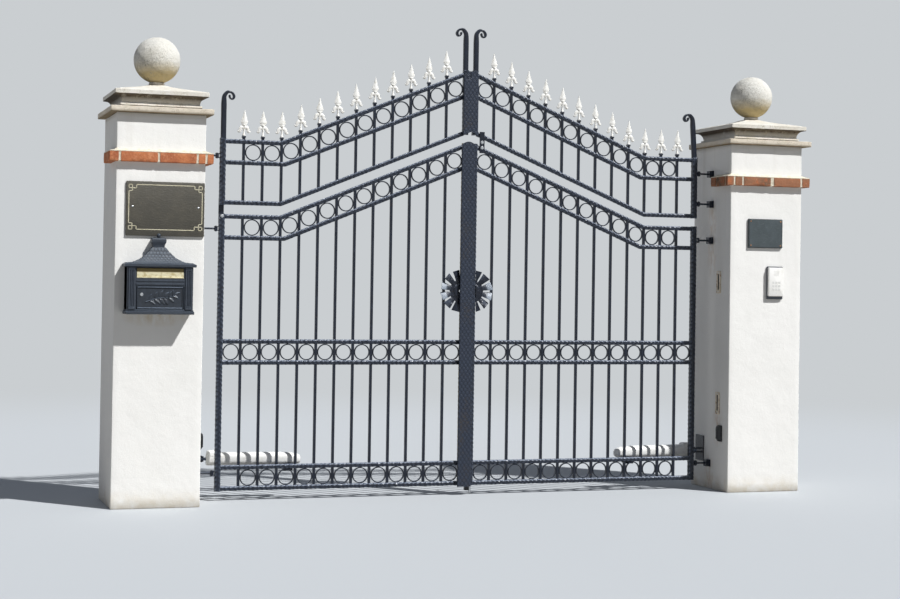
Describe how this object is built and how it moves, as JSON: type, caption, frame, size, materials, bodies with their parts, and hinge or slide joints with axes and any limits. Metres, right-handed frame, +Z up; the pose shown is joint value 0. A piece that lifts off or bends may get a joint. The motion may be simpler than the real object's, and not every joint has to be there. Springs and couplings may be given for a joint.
{
  "type": "wrought iron driveway gate with its posts",
  "caption": "Double-leaf wrought iron driveway gate rising to the middle, with ring bands, fleur-de-lis finials, scrolled stiles and electric openers, between capped posts.",
  "frame": {"origin": "middle of the left post's foot, on the ground", "axes": "+X from the left post to the right post, +Y into the drive, +Z up"},
  "size_m": [4.563, 0.692, 2.9375],
  "materials": {
    "render": "matte",
    "brick": "matte",
    "cast_stone": "matte",
    "slate_plate": "satin",
    "white_paint": "satin",
    "cream_paint": "satin",
    "brass_flap": "satin",
    "black_plastic": "matte",
    "grey_casting": "matte",
    "white_casting": "satin",
    "bare_steel": "satin",
    "black_iron": "satin"
  },
  "bodies": {
    "posts": {"left_post": "render", "left_brick_band": "brick", "left_cap_slab": "cast_stone", "left_capstone": "cast_stone", "left_ball": "cast_stone", "right_post": "render", "right_brick_band": "brick", "right_cap_slab": "cast_stone", "right_capstone": "cast_stone", "right_ball": "cast_stone", "name_plate": "slate_plate", "number_plate": "slate_plate", "intercom": "white_paint", "slot_plates": "cream_paint", "photocells": "black_plastic", "letterbox_body": "grey_casting", "letterbox_roof": "grey_casting", "letterbox_door": "grey_casting", "letterbox_flap": "brass_flap", "left_hinge_brackets": "black_iron", "right_hinge_brackets": "black_iron", "left_ram_bracket": "black_iron", "right_ram_bracket": "black_iron"},
    "left_leaf": {"left_gate_frame": "black_iron", "left_gate_rings": "black_iron", "left_panel_frame": "black_iron", "left_panel_rings": "black_iron", "left_scroll_stiles": "black_iron", "left_finials": "white_casting", "left_rosette": "black_iron", "left_hinge_lugs": "black_iron", "left_fixings": "black_iron", "cover_strip_lower": "black_iron", "cover_strip_upper": "black_iron"},
    "right_leaf": {"right_gate_frame": "black_iron", "right_gate_rings": "black_iron", "right_panel_frame": "black_iron", "right_panel_rings": "black_iron", "right_scroll_stiles": "black_iron", "right_finials": "white_casting", "right_rosette": "black_iron", "right_hinge_lugs": "black_iron", "right_fixings": "black_iron", "drop_stop": "black_iron"},
    "left_opener": {"left_ram": "white_paint"},
    "right_opener": {"right_ram": "white_paint"},
    "left_carriage": {"left_ram_carriage": "bare_steel"},
    "right_carriage": {"right_ram_carriage": "bare_steel"}
  },
  "joints": [
    {"name": "left_leaf_swing", "type": "hinge", "parent": "posts", "child": "left_leaf", "pos_m": [0.376, 0, 0], "axis": [0, 0, 1], "range_deg": [0, 90]},
    {"name": "right_leaf_swing", "type": "hinge", "parent": "posts", "child": "right_leaf", "pos_m": [3.59, 0, 0], "axis": [0, 0, -1], "range_deg": [0, 90]},
    {"name": "left_opener_yaw", "type": "hinge", "parent": "posts", "child": "left_opener", "pos_m": [0.33, 0.11, 0.243], "axis": [0, 0, 1], "range_deg": [0, 97.98]},
    {"name": "right_opener_yaw", "type": "hinge", "parent": "posts", "child": "right_opener", "pos_m": [3.636, 0.11, 0.243], "axis": [0, 0, -1], "range_deg": [0, 97.98]},
    {"name": "left_carriage_slide", "type": "slide", "parent": "left_opener", "child": "left_carriage", "axis": [0.996, -0.0888, 0], "range_m": [-0.1577, 0]},
    {"name": "right_carriage_slide", "type": "slide", "parent": "right_opener", "child": "right_carriage", "axis": [-0.996, -0.0888, 0], "range_m": [-0.1577, 0]}
  ],
  "couplings": [
    {"joint": "right_leaf_swing", "follows": "left_leaf_swing", "ratio": 1},
    {"joint": "left_opener_yaw", "follows": "left_leaf_swing", "ratio": 1.0884},
    {"joint": "right_opener_yaw", "follows": "left_leaf_swing", "ratio": 1.0884},
    {"joint": "left_carriage_slide", "follows": "left_leaf_swing", "m_per_rad": -0.10033},
    {"joint": "right_carriage_slide", "follows": "left_leaf_swing", "m_per_rad": -0.10033}
  ]
}
